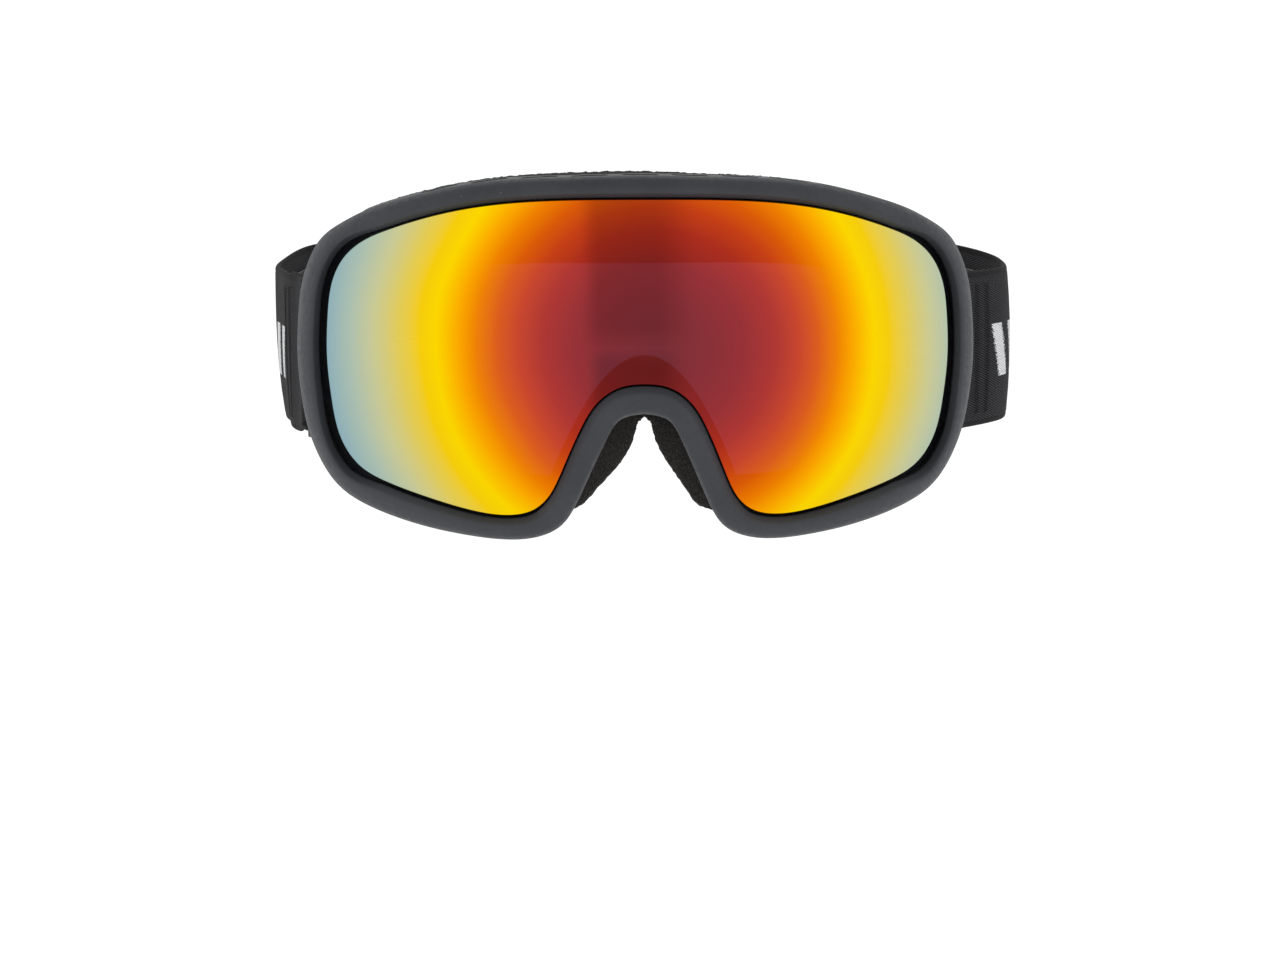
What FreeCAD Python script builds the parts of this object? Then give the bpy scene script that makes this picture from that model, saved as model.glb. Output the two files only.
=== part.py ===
"""Ski goggles: a moulded frame with a double spherical lens, layered face foam, two swivel clips and an
elastic strap with two sliders.

Millimetres. +X is the wearer's left, +Y points from the lens towards the head, +Z is up. The origin is the
seat on the face: x = 0 is the plane of symmetry, z = 0 the height of the lens apex, and y = 0 the rear of the
face foam at the temples.
"""

import math
import os

import FreeCAD
import Part

V = FreeCAD.Vector

# Lens: every layer is a sphere about one centre.
LENS_RADIUS = 110.0
LENS_APEX_Y = -72.0
SPHERE_Y = LENS_APEX_Y + LENS_RADIUS
OUTER_LENS = 1.2
SPACER = 3.0
INNER_LENS = 0.8
LENS_STACK = OUTER_LENS + SPACER + INNER_LENS
SEAT_GAP = 0.2

# Frame shell.
LIP_PROUD_TOP = 2.2
LIP_PROUD_SIDE = 2.7
LEDGE_THICK = 1.9
FLANGE_THICK = 1.8
FLANGE_BROW_Y = -43.0
FLANGE_TEMPLE_Y = -16.0
TEMPLE_X = 84.0
NOSE_FORWARD = 7.0

# Face foam, measured back from the flange.
GLUE = 0.3
BASE_FOAM = 8.0
SOFT_FOAM = 7.0
FLEECE = 1.2
NOSE_THINNING = 0.2
NOSE_PINCH = 0.46

# Vents through the outer wall.
VENT_WIDTH = 9.5
VENT_HEIGHT = 4.2
TOP_VENT_PITCH = 13.0
TOP_VENTS_EACH_SIDE = 4
BOTTOM_VENT_X = (38.0, 50.5, 63.0)
BOTTOM_VENT_HEIGHT = 3.0

# Swivel between the frame's temple tab and the strap clip.
STRAP_Z = -3.4
PIVOT_Y = -10.0
TAB_X = 82.9
TAB_THICK = 2.0
TAB_RADIUS = 8.0
STUD_RADIUS = 2.5
STUD_RUNNING_GAP = 0.05
STUD_HEAD_RADIUS = 4.5
STUD_HEAD = 1.2
CLIP_X = 85.1
CLIP_THICK = 2.0
CLIP_HALF_HEIGHT = 22.6
SLOT_HALF_HEIGHT = 20.5
SLOT_FRONT_Y = 0.9
BAR_FRONT_Y = 4.6
BAR_REAR_Y = 6.6

# Elastic webbing, and its path seen from above from each clip round to the straight rear.
WEBBING_WIDTH = 40.0
WEBBING = 1.6
LAYER_PITCH = 2.0
FOLD_RADIUS = 2.15
FOLD_Y = 4.4
CHEEK_RADIUS = 30.0
CHEEK_ANGLE = 26.0
SIDE_RADIUS = 95.0
SIDE_END_ANGLE = 20.0
REAR_RADIUS = 46.0
OVERLAP_X = 46.0
RETURN_RADIUS = 12.0
RETURN_STRAIGHT = 9.8
RETURN_ANGLE = 8.0

# Slider: two end plates, two outer bars and a centre bar on the head side.
SLIDER_X = 30.0
SLIDER_LENGTH = 24.0
SLIDER_HALF_HEIGHT = 23.5
SLIDER_END = 3.0
SLIDER_BAR = 4.5
SLIDER_BAR_THICK = 1.8
SLIDER_GAP = 0.35

GRIP_THICK = 0.5
GRIP_WIDTH = 5.0
GRIP_Z = (-12.0, 0.0, 12.0)
TACK_THICK = 0.4
TACK_HALF_HEIGHT = 17.0
TACK_ANGLES = (1.6, 4.8)
TACK_SPAN = 1.4
THREAD_GAP = 0.06

# Half outlines seen from the front, as (x, z), from the top centre round to the nose. One row is one
# station: the eye opening, the edge of the lens, and the outside of the frame.
STATIONS = [
    ((0.0, 29.5), (0.0, 41.6), (0.0, 47.5)),
    ((17.0, 29.3), (18.0, 41.4), (20.0, 47.0)),
    ((30.0, 28.8), (31.0, 40.7), (34.0, 46.3)),
    ((42.0, 27.5), (44.0, 39.0), (48.0, 44.3)),
    ((52.0, 25.0), (56.0, 36.1), (61.0, 41.0)),
    ((59.0, 22.0), (65.0, 33.0), (71.0, 37.4)),
    ((64.0, 18.8), (71.5, 30.0), (78.0, 33.6)),
    ((67.5, 14.5), (77.2, 25.0), (84.0, 28.2)),
    ((69.3, 10.0), (80.0, 19.5), (87.3, 21.0)),
    ((70.2, 5.0), (81.5, 9.5), (89.1, 10.5)),
    ((70.2, -1.0), (81.7, -1.0), (89.5, -1.0)),
    ((69.0, -7.5), (80.5, -12.5), (88.4, -13.0)),
    ((66.5, -14.0), (77.8, -23.4), (85.4, -25.0)),
    ((62.5, -19.5), (73.0, -29.8), (80.0, -34.5)),
    ((56.0, -24.0), (65.5, -33.6), (71.5, -40.3)),
    ((49.0, -27.0), (55.0, -36.9), (58.0, -44.5)),
    ((42.0, -28.7), (43.5, -39.8), (45.0, -46.7)),
    ((36.0, -29.0), (34.5, -40.6), (34.5, -47.4)),
    ((31.0, -27.8), (28.6, -39.2), (27.0, -46.4)),
    ((27.8, -25.0), (24.8, -36.0), (21.2, -43.4)),
    ((25.5, -20.5), (22.3, -31.6), (17.5, -38.0)),
    ((22.5, -14.5), (19.6, -25.0), (14.0, -30.0)),
    ((19.0, -8.5), (16.6, -18.0), (10.4, -21.8)),
    ((13.5, -2.0), (12.3, -10.7), (7.0, -15.6)),
    ((7.0, 2.0), (6.6, -6.5), (3.7, -13.8)),
    ((0.0, 3.0), (0.0, -5.5), (0.0, -13.3)),
]
LAST = len(STATIONS) - 1


def ease(value):
    """Smooth step from 0 to 1."""
    value = min(1.0, max(0.0, value))
    return value * value * (3.0 - 2.0 * value)


def plan(station, t):
    """Front-view point of a station: t is 0 at the eye opening, 1 at the lens edge, 2 at the outside."""
    eye, edge, outside = station
    start, end, part = (eye, edge, t) if t < 1.0 else (edge, outside, t - 1.0)
    return start[0] + (end[0] - start[0]) * part, start[1] + (end[1] - start[1]) * part


def side_weight(station):
    """1 along the temples, 0 on the brow and cheeks."""
    return ease((station[2][0] - 71.0) / 11.0)


def nose_weight(station):
    """1 along the nose arch, 0 elsewhere."""
    x, z = station[2]
    return ease((27.0 - x) / 6.0) if z < 0.0 else 0.0


def front_point(station, t, depth):
    """Point under the lens surface by depth, measured along the sphere's radius; negative is proud."""
    x, z = plan(station, t)
    radius = LENS_RADIUS - depth
    return V(x, SPHERE_Y - math.sqrt(radius**2 - x**2 - z**2), z)


def flange_y(x, z):
    """Rear face of the frame's flange, curved to the face and pulled forward over the nose."""
    curve = (FLANGE_TEMPLE_Y - FLANGE_BROW_Y) * (x / TEMPLE_X) ** 2
    nose = math.exp(-((x / 24.0) ** 2)) * ease((4.0 - z) / 16.0)
    return FLANGE_BROW_Y + curve - NOSE_FORWARD * nose


def rear_point(station, t, depth):
    """Point behind the flange's rear face by depth."""
    x, z = plan(station, t)
    return V(x, flange_y(x, z) + depth, z)


def ring_parameters():
    """Spline parameters shared by every ring curve, from the lens edge's chord lengths."""
    edge = [station[1] for station in STATIONS]
    chords = [math.dist(edge[i], edge[i + 1]) for i in range(LAST)]
    params = [0.0]
    for chord in chords + chords[::-1]:
        params.append(params[-1] + chord)
    return params


PARAMETERS = ring_parameters()


def ring_halves(points):
    """Right and left halves of the smooth closed curve through one point of each station."""
    left = [V(-p.x, p.y, p.z) for p in points[LAST - 1 : 0 : -1]]
    halves = []
    for start, end in ((0.0, PARAMETERS[LAST]), (PARAMETERS[LAST], PARAMETERS[-1])):
        curve = Part.BSplineCurve()
        curve.interpolate(Points=points + left, PeriodicFlag=True, Parameters=PARAMETERS)
        curve.segment(start, end)
        halves.append(curve)
    return halves


def ruled_face(near, far):
    """Face of straight rulings between two curves that share their knots."""
    surface = Part.BSplineSurface()
    surface.buildFromPolesMultsKnots(
        [[a, b] for a, b in zip(near.getPoles(), far.getPoles())],
        near.getMultiplicities(),
        [2, 2],
        near.getKnots(),
        [0.0, 1.0],
        False,
        False,
        near.Degree,
        1,
    )
    return surface.toShape()


def ring(section):
    """Solid ring whose cross-section at each station is the closed polygon that section returns."""
    polygons = [section(station) for station in STATIONS]
    curves = [ring_halves([polygon[k] for polygon in polygons]) for k in range(len(polygons[0]))]
    faces = []
    for here, following in zip(curves, curves[1:] + curves[:1]):
        faces += [ruled_face(a, b) for a, b in zip(here, following)]
    shell = Part.Shell(faces)
    shell.sewShape()
    solid = Part.Solid(shell)
    if solid.Volume < 0.0:
        solid.reverse()
    return solid


def prism(t, y_from, y_to):
    """Straight block of a front outline, along Y."""
    points = [V(plan(station, t)[0], y_from, plan(station, t)[1]) for station in STATIONS]
    wire = Part.Wire([half.toShape() for half in ring_halves(points)])
    return Part.Face(wire).extrude(V(0.0, y_to - y_from, 0.0))


def block(low, high):
    """Box between two corners."""
    return Part.makeBox(high[0] - low[0], high[1] - low[1], high[2] - low[2], V(*low))


def mirrored(shape):
    """The wearer's right-hand copy of a left-hand piece."""
    return shape.mirror(V(0.0, 0.0, 0.0), V(1.0, 0.0, 0.0))


# Lens stack


def lens_shell(t, depth, thickness):
    """Spherical lens of one thickness, cut to a front outline."""
    centre = V(0.0, SPHERE_Y, 0.0)
    outside = Part.makeSphere(LENS_RADIUS - depth, centre)
    inside = Part.makeSphere(LENS_RADIUS - depth - thickness, centre)
    return prism(t, LENS_APEX_Y - 5.0, 0.0).common(outside.cut(inside))


def outer_lens():
    return lens_shell(1.0, 0.0, OUTER_LENS)


def inner_lens():
    return lens_shell(0.94, OUTER_LENS + SPACER, INNER_LENS)


def lens_spacer():
    """Foam gasket that holds the two lenses apart."""
    top = OUTER_LENS + 0.05
    bottom = OUTER_LENS + SPACER - 0.05

    def section(station):
        return [
            front_point(station, 0.70, top),
            front_point(station, 0.93, top),
            front_point(station, 0.93, bottom),
            front_point(station, 0.70, bottom),
        ]

    return ring(section)


# Frame


def wall_t(station):
    """Outer and inner place of the frame's outer wall, which steps in at the temples."""
    outside = 1.93 - 0.54 * side_weight(station)
    return outside, outside - 0.34 + 0.06 * side_weight(station)


def frame_section(station):
    """Lens ledge, gap, bevelled lip, outer wall and face flange of the frame shell."""
    side = side_weight(station)
    bottom = ease(-station[1][1] / 30.0) * (1.0 - nose_weight(station))
    proud = LIP_PROUD_TOP + (LIP_PROUD_SIDE - LIP_PROUD_TOP) * side
    gap = 1.05 + 0.07 * bottom + 0.18 * side
    crest = gap + 0.22
    ledge = LENS_STACK + SEAT_GAP
    outside, inside = wall_t(station)
    step = front_point(station, 2.0, 1.0).y + 2.2
    step_x, step_z = plan(station, outside)
    return [
        front_point(station, 0.62, ledge),
        front_point(station, gap, ledge),
        front_point(station, gap, 0.5),
        front_point(station, crest, -0.88 * proud),
        front_point(station, 0.5 * crest + 0.88, -proud),
        front_point(station, 1.84, -0.75 * proud),
        front_point(station, 1.96, -0.15 * proud),
        front_point(station, 2.0, 1.0),
        V(step_x, step, step_z),
        rear_point(station, outside, 0.0),
        rear_point(station, 0.15, 0.0),
        rear_point(station, 0.15, -FLANGE_THICK),
        rear_point(station, inside, -FLANGE_THICK),
        front_point(station, inside, ledge + LEDGE_THICK),
        front_point(station, 0.62, ledge + LEDGE_THICK),
    ]


def vent_y(x, z):
    """Middle of the outer wall between the lens ledge and the flange."""
    radius = LENS_RADIUS - LENS_STACK - SEAT_GAP - LEDGE_THICK
    ledge = SPHERE_Y - math.sqrt(radius**2 - x**2 - z**2)
    return 0.5 * (ledge + flange_y(x, z) - FLANGE_THICK)


def vent_cutters():
    """Blocks that cut the vents through the top and bottom walls."""
    cutters = []
    for i in range(-TOP_VENTS_EACH_SIDE, TOP_VENTS_EACH_SIDE + 1):
        x = i * TOP_VENT_PITCH
        y = vent_y(x, 45.5 - 4.5 * (x / 52.0) ** 2)
        low = (x - VENT_WIDTH / 2, y - VENT_HEIGHT / 2, 34.0)
        cutters.append(block(low, (x + VENT_WIDTH / 2, y + VENT_HEIGHT / 2, 50.0)))
    for x in BOTTOM_VENT_X:
        y = vent_y(x, -45.0 + 2.5 * ((x - 38.0) / 25.0) ** 2)
        low = (x - VENT_WIDTH / 2, y - BOTTOM_VENT_HEIGHT / 2, -50.0)
        vent = block(low, (x + VENT_WIDTH / 2, y + BOTTOM_VENT_HEIGHT / 2, -34.0))
        cutters += [vent, mirrored(vent)]
    return cutters


def temple_tab():
    """Ear behind the frame's side that carries the swivel stud."""
    disc = Part.makeCylinder(TAB_RADIUS, TAB_THICK, V(TAB_X, PIVOT_Y, STRAP_Z), V(1, 0, 0))
    low = (TAB_X, -22.0, STRAP_Z - TAB_RADIUS)
    plate = block(low, (TAB_X + TAB_THICK, PIVOT_Y, STRAP_Z + TAB_RADIUS))
    hole = Part.makeCylinder(STUD_RADIUS, 3 * TAB_THICK, V(TAB_X - TAB_THICK, PIVOT_Y, STRAP_Z), V(1, 0, 0))
    return disc.fuse(plate).cut(hole)


def frame():
    shell = ring(frame_section).cut(vent_cutters())
    tab = temple_tab()
    return shell.fuse([tab, mirrored(tab)])


def vent_foam_ring():
    """Filter foam that lines the outer wall; only the vented stretches are kept."""

    def section(station):
        inside = wall_t(station)[1]
        top = LENS_STACK + SEAT_GAP + LEDGE_THICK + 0.3
        return [
            front_point(station, inside - 0.45, top),
            front_point(station, inside - 0.06, top),
            rear_point(station, inside - 0.06, -FLANGE_THICK - 0.3),
            rear_point(station, inside - 0.45, -FLANGE_THICK - 0.3),
        ]

    return ring(section)


# Face foam


def foam_t(station):
    """Outer place of the foam: in from the frame at the temples, out over the nose."""
    return 1.85 - 0.92 * side_weight(station) + 0.60 * nose_weight(station)


def pinched(station, point, t):
    """Foam under the bridge of the nose, drawn in towards the middle so that its arch is narrow at the top."""
    high = 1.0 - ease((-18.0 - point.z) / 14.0)
    pull = NOSE_PINCH * high * ease((t - 1.0) / 1.2) * nose_weight(station)
    return V(point.x * (1.0 - pull), point.y, point.z)


def foam_layer(corners):
    """Ring of foam from (t, depth) corners; t is measured inwards from the foam's outside where negative."""

    def section(station):
        outside = foam_t(station)
        scale = 1.0 - NOSE_THINNING * nose_weight(station)
        points = []
        for t, depth in corners:
            place = outside + t if t <= 0.0 else t
            point = rear_point(station, place, GLUE + (depth - GLUE) * scale)
            points.append(pinched(station, point, place))
        return points

    return ring(section)


def face_foam_base():
    return foam_layer([(0.10, GLUE), (0.0, GLUE), (-0.02, BASE_FOAM), (0.12, BASE_FOAM)])


def face_foam_soft():
    front = BASE_FOAM + 0.1
    rear = BASE_FOAM + SOFT_FOAM
    shoulder = rear - 3.0
    return foam_layer(
        [(0.12, front), (-0.02, front), (-0.03, shoulder), (-0.22, rear), (0.38, rear), (0.15, shoulder)]
    )


def face_fleece():
    front = BASE_FOAM + SOFT_FOAM + 0.1
    rear = front + FLEECE
    return foam_layer([(0.38, front), (-0.22, front), (-0.26, rear), (0.44, rear)])


# Swivel stud and strap clip


def stud():
    """Headed post, from inside the temple tab to just past the clip."""
    head_x = TAB_X - STUD_HEAD - 0.05
    head = Part.makeCylinder(STUD_HEAD_RADIUS, STUD_HEAD, V(head_x, PIVOT_Y, STRAP_Z), V(1, 0, 0))
    length = CLIP_X + CLIP_THICK + 0.1 - head_x
    post = Part.makeCylinder(STUD_RADIUS, length, V(head_x, PIVOT_Y, STRAP_Z), V(1, 0, 0))
    return head.fuse(post)


def stud_cap():
    """Domed cap riveted on the post's end."""
    start = V(CLIP_X + CLIP_THICK + 0.1, PIVOT_Y, STRAP_Z)
    cap = Part.makeCylinder(STUD_HEAD_RADIUS, STUD_HEAD, start, V(1, 0, 0))
    rim = [edge for edge in cap.Edges if abs(edge.CenterOfMass.x - start.x - STUD_HEAD) < 0.01]
    return cap.makeFillet(0.6, rim[:1])


def clip():
    """Flat clip: a round eye on the stud, widening to a slot and a bar for the webbing."""
    eye = Part.makeCylinder(TAB_RADIUS, CLIP_THICK, V(CLIP_X, PIVOT_Y, STRAP_Z), V(1, 0, 0))
    shoulder_y = SLOT_FRONT_Y - 2.6
    outline = [
        (PIVOT_Y, -TAB_RADIUS),
        (shoulder_y, -CLIP_HALF_HEIGHT),
        (BAR_REAR_Y, -CLIP_HALF_HEIGHT),
        (BAR_REAR_Y, CLIP_HALF_HEIGHT),
        (shoulder_y, CLIP_HALF_HEIGHT),
        (PIVOT_Y, TAB_RADIUS),
    ]
    points = [V(CLIP_X, y, STRAP_Z + z) for y, z in outline]
    plate = Part.Face(Part.makePolygon(points + points[:1])).extrude(V(CLIP_THICK, 0, 0))
    corners = [e for e in plate.Edges if abs(abs(e.CenterOfMass.z - STRAP_Z) - CLIP_HALF_HEIGHT) < 0.01]
    corners = [e for e in corners if e.Length < CLIP_THICK + 0.01]
    plate = plate.makeFillet(4.0, corners)
    slot = block(
        (CLIP_X - 1.0, SLOT_FRONT_Y, STRAP_Z - SLOT_HALF_HEIGHT),
        (CLIP_X + CLIP_THICK + 1.0, BAR_FRONT_Y, STRAP_Z + SLOT_HALF_HEIGHT),
    )
    hole_radius = STUD_RADIUS + STUD_RUNNING_GAP
    hole = Part.makeCylinder(hole_radius, 3 * CLIP_THICK, V(CLIP_X - 2.0, PIVOT_Y, STRAP_Z), V(1, 0, 0))
    return eye.fuse(plate).removeSplitter().cut([slot, hole])


# Webbing


class Strip:
    """A flat band seen from above: straight runs and arcs, with a thickness either side of its line.

    The heading is in degrees from +Y towards +X.
    """

    def __init__(self, x, y, heading):
        self.x, self.y, self.heading = x, y, heading
        self.pieces = []

    def point(self, side):
        """Point beside the line's present end; side is to the right of the heading."""
        angle = math.radians(self.heading)
        return V(self.x + side * math.cos(angle), self.y - side * math.sin(angle), 0.0)

    def straight(self, length):
        self.pieces.append(("straight", self.x, self.y, self.heading, length, 0.0))
        self.x += length * math.sin(math.radians(self.heading))
        self.y += length * math.cos(math.radians(self.heading))
        return self

    def turn(self, radius, angle):
        """Arc through an angle in degrees; a positive angle turns to the right."""
        self.pieces.append(("turn", self.x, self.y, self.heading, radius, angle))
        self.x, self.y, self.heading = self.after(radius, angle, 0.0)
        return self

    def after(self, radius, angle, side):
        """Place and heading part of the way round an arc from the present end, beside the line."""
        sign = math.copysign(1.0, angle)
        start = math.radians(self.heading)
        centre_x = self.x + sign * radius * math.cos(start)
        centre_y = self.y - sign * radius * math.sin(start)
        heading = self.heading + angle
        end = math.radians(heading)
        reach = side - sign * radius
        return centre_x + reach * math.cos(end), centre_y - reach * math.sin(end), heading

    def edge(self, piece, side):
        """One run or arc of the band's face at a side distance from its line."""
        kind, x, y, heading, size, angle = piece
        walker = Strip(x, y, heading)
        start = walker.point(side)
        if kind == "straight":
            return Part.LineSegment(start, walker.straight(size).point(side)).toShape()
        middle = walker.after(size, angle / 2.0, side)
        end = walker.after(size, angle, side)
        return Part.Arc(start, V(middle[0], middle[1], 0.0), V(end[0], end[1], 0.0)).toShape()

    def band(self, side_from, side_to, z_from, z_to):
        """Solid between two side distances and two heights."""
        first, last = self.pieces[0], self.pieces[-1]
        near = [self.edge(piece, side_from) for piece in self.pieces]
        far = [self.edge(piece, side_to) for piece in self.pieces]
        begin = Strip(*first[1:4])
        caps = [
            Part.LineSegment(begin.point(side_from), begin.point(side_to)).toShape(),
            Part.LineSegment(self.point(side_from), self.point(side_to)).toShape(),
        ]
        wire = Part.Wire(Part.__sortEdges__(near + far + caps))
        face = Part.Face(wire)
        face.translate(V(0.0, 0.0, z_from))
        return face.extrude(V(0.0, 0.0, z_to - z_from))


def side_path(rear_radius):
    """Line of one side's webbing, from inside the clip's bar round to the straight rear."""
    path = Strip(CLIP_X + CLIP_THICK / 2 - FOLD_RADIUS, FOLD_Y, 180.0)
    path.turn(FOLD_RADIUS, -180.0)
    path.turn(CHEEK_RADIUS, CHEEK_ANGLE)
    path.turn(SIDE_RADIUS, -(CHEEK_ANGLE + SIDE_END_ANGLE))
    path.turn(rear_radius, -(90.0 - SIDE_END_ANGLE))
    return path


def return_path():
    """The webbing's sewn end, back from inside the clip's bar against the outer layer."""
    path = Strip(CLIP_X + CLIP_THICK / 2 - FOLD_RADIUS, FOLD_Y, 0.0)
    path.turn(RETURN_RADIUS, CHEEK_ANGLE)
    path.straight(RETURN_STRAIGHT)
    path.turn(SIDE_RADIUS - LAYER_PITCH, -RETURN_ANGLE)
    return path


def webbing(rear_radius):
    """One half of the strap, on the wearer's left: folded round the clip's bar and across the rear."""
    low = STRAP_Z - WEBBING_WIDTH / 2
    high = STRAP_Z + WEBBING_WIDTH / 2
    path = side_path(rear_radius)
    path.straight(path.x + OVERLAP_X)
    outer = path.band(-WEBBING / 2, WEBBING / 2, low, high)
    sewn = return_path().band(-WEBBING / 2, WEBBING / 2, low, high)
    return outer.fuse(sewn)


def rear_line_y():
    """Middle of the strap's outer rear layer."""
    return side_path(REAR_RADIUS).y


def inner_rear_radius():
    """Rear turn of the half that lies inside the other across the back."""
    return REAR_RADIUS - LAYER_PITCH / (1.0 - math.sin(math.radians(SIDE_END_ANGLE)))


def slider():
    """Adjuster on the rear overlap, on the wearer's left."""
    rear = rear_line_y() + WEBBING / 2 + SLIDER_GAP
    front = rear_line_y() - LAYER_PITCH - WEBBING / 2 - GRIP_THICK - SLIDER_GAP
    low_z, high_z = STRAP_Z - SLIDER_HALF_HEIGHT, STRAP_Z + SLIDER_HALF_HEIGHT
    half = SLIDER_LENGTH / 2
    solids = []
    for z in (low_z, high_z - SLIDER_END):
        low = (SLIDER_X - half, front - SLIDER_BAR_THICK, z)
        solids.append(block(low, (SLIDER_X + half, rear + SLIDER_BAR_THICK, z + SLIDER_END)))
    for x in (SLIDER_X - half, SLIDER_X + half - SLIDER_BAR):
        solids.append(block((x, rear, low_z), (x + SLIDER_BAR, rear + SLIDER_BAR_THICK, high_z)))
    x = SLIDER_X - SLIDER_BAR / 2
    solids.append(block((x, front - SLIDER_BAR_THICK, low_z), (x + SLIDER_BAR, front, high_z)))
    body = solids[0].fuse(solids[1:]).removeSplitter()
    ends = [e for e in body.Edges if e.BoundBox.ZLength < 0.01 and e.BoundBox.XLength < 0.01]
    outer = [e for e in ends if min(abs(e.CenterOfMass.z - low_z), abs(e.CenterOfMass.z - high_z)) < 0.01]
    return body.makeFillet(1.4, [e for e in outer if abs(abs(e.CenterOfMass.x - SLIDER_X) - half) < 0.01])


def outer_line(angle):
    """Strip that starts on the outer layer's line, an angle back from the end of its cheek turn."""
    path = Strip(CLIP_X + CLIP_THICK / 2 + FOLD_RADIUS, FOLD_Y, 0.0)
    path.turn(CHEEK_RADIUS, CHEEK_ANGLE)
    path.turn(SIDE_RADIUS, -angle)
    return Strip(path.x, path.y, path.heading)


def grip_strips():
    """Silicone lines on the head side of the webbing, from its sewn end to the rear turn."""
    start = RETURN_ANGLE + 4.0
    path = outer_line(start).turn(SIDE_RADIUS, start - CHEEK_ANGLE - SIDE_END_ANGLE)
    strips = []
    for z in GRIP_Z:
        low, high = STRAP_Z + z - GRIP_WIDTH / 2, STRAP_Z + z + GRIP_WIDTH / 2
        strip = path.band(-WEBBING / 2 - GRIP_THICK, -WEBBING / 2 - THREAD_GAP, low, high)
        strips += [strip, mirrored(strip)]
    return Part.makeCompound(strips)


def bar_tacks():
    """Rows of dense thread, outside and inside, that close the fold round each clip's bar."""
    inner = -WEBBING / 2 - LAYER_PITCH - TACK_THICK - THREAD_GAP
    tacks = []
    for angle in TACK_ANGLES:
        row = outer_line(angle).turn(SIDE_RADIUS, -TACK_SPAN)
        for side in (WEBBING / 2 + THREAD_GAP, inner):
            tack = row.band(side, side + TACK_THICK, STRAP_Z - TACK_HALF_HEIGHT, STRAP_Z + TACK_HALF_HEIGHT)
            tacks += [tack, mirrored(tack)]
    return Part.makeCompound(tacks)


def build():
    """Every piece by its node's name."""
    vent_foam = vent_foam_ring()
    bottom = block((30.0, -80.0, -60.0), (70.0, 0.0, -30.0))
    pieces = {
        "frame": frame(),
        "outer_lens": outer_lens(),
        "lens_spacer": lens_spacer(),
        "inner_lens": inner_lens(),
        "vent_foam_top": vent_foam.common(block((-60.0, -80.0, 30.0), (60.0, 0.0, 60.0))),
        "vent_foam_bottom_left": vent_foam.common(bottom),
        "vent_foam_bottom_right": vent_foam.common(mirrored(bottom)),
        "face_foam_base": face_foam_base(),
        "face_foam_soft": face_foam_soft(),
        "face_fleece": face_fleece(),
        "strap_left": webbing(REAR_RADIUS),
        "strap_right": mirrored(webbing(inner_rear_radius())),
        "grip_strips": grip_strips(),
        "bar_tacks": bar_tacks(),
    }
    for name, piece in (("stud", stud()), ("stud_cap", stud_cap()), ("clip", clip()), ("slider", slider())):
        pieces[name + "_left"] = piece
        pieces[name + "_right"] = mirrored(piece)
    return pieces


os.makedirs("parts", exist_ok=True)
for node, shape in build().items():
    print(f"{node:24s} volume {shape.Volume:10.1f} solids {len(shape.Solids)} valid {shape.isValid()}")
    shape.exportStep(f"parts/{node}.step")
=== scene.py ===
"""Ski goggles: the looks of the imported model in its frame, with a floor, sky light and camera."""

import math

import bmesh
import bpy
import numpy as np
from mathutils import Matrix, Vector, geometry, noise


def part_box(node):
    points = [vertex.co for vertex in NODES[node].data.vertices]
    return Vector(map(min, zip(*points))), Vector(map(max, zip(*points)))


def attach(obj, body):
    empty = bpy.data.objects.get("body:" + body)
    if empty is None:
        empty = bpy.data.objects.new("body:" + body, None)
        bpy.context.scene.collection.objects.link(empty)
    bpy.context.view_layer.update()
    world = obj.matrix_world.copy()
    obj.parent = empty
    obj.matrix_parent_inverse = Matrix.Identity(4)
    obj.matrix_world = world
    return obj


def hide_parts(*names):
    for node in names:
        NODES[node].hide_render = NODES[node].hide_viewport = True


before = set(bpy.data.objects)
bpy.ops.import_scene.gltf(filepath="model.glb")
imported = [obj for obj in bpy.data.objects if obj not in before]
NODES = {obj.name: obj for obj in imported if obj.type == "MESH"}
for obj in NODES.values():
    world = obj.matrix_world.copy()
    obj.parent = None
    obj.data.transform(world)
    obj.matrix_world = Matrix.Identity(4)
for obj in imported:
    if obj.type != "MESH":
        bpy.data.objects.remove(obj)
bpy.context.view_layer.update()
MM = 0.001

# Lens and frame, in millimetres, as in the design.
LENS_RADIUS = 110.0
LENS_APEX_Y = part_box("outer_lens")[0].y / MM
SPHERE_Y = LENS_APEX_Y + LENS_RADIUS
OUTER_LENS_THICK = 1.2
INNER_LENS_FRONT = 4.2
LENS_STACK = 5.0
LEDGE_DEPTH = 5.2
LEDGE_THICK = 1.9
FLANGE_THICK = 1.8
FLANGE_BROW_Y = -43.0
FLANGE_TEMPLE_Y = -16.0
TEMPLE_X = 84.0
NOSE_FORWARD = 7.0
PIVOT_Y, STRAP_Z = -10.0, -3.4
TAB_RADIUS = 8.0
TAB_INNER_X, TAB_OUTER_X = 82.9, 84.9
STUD_HOLE_RADIUS = 2.52
VENT_HALF_WIDTH = 4.75

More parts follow.
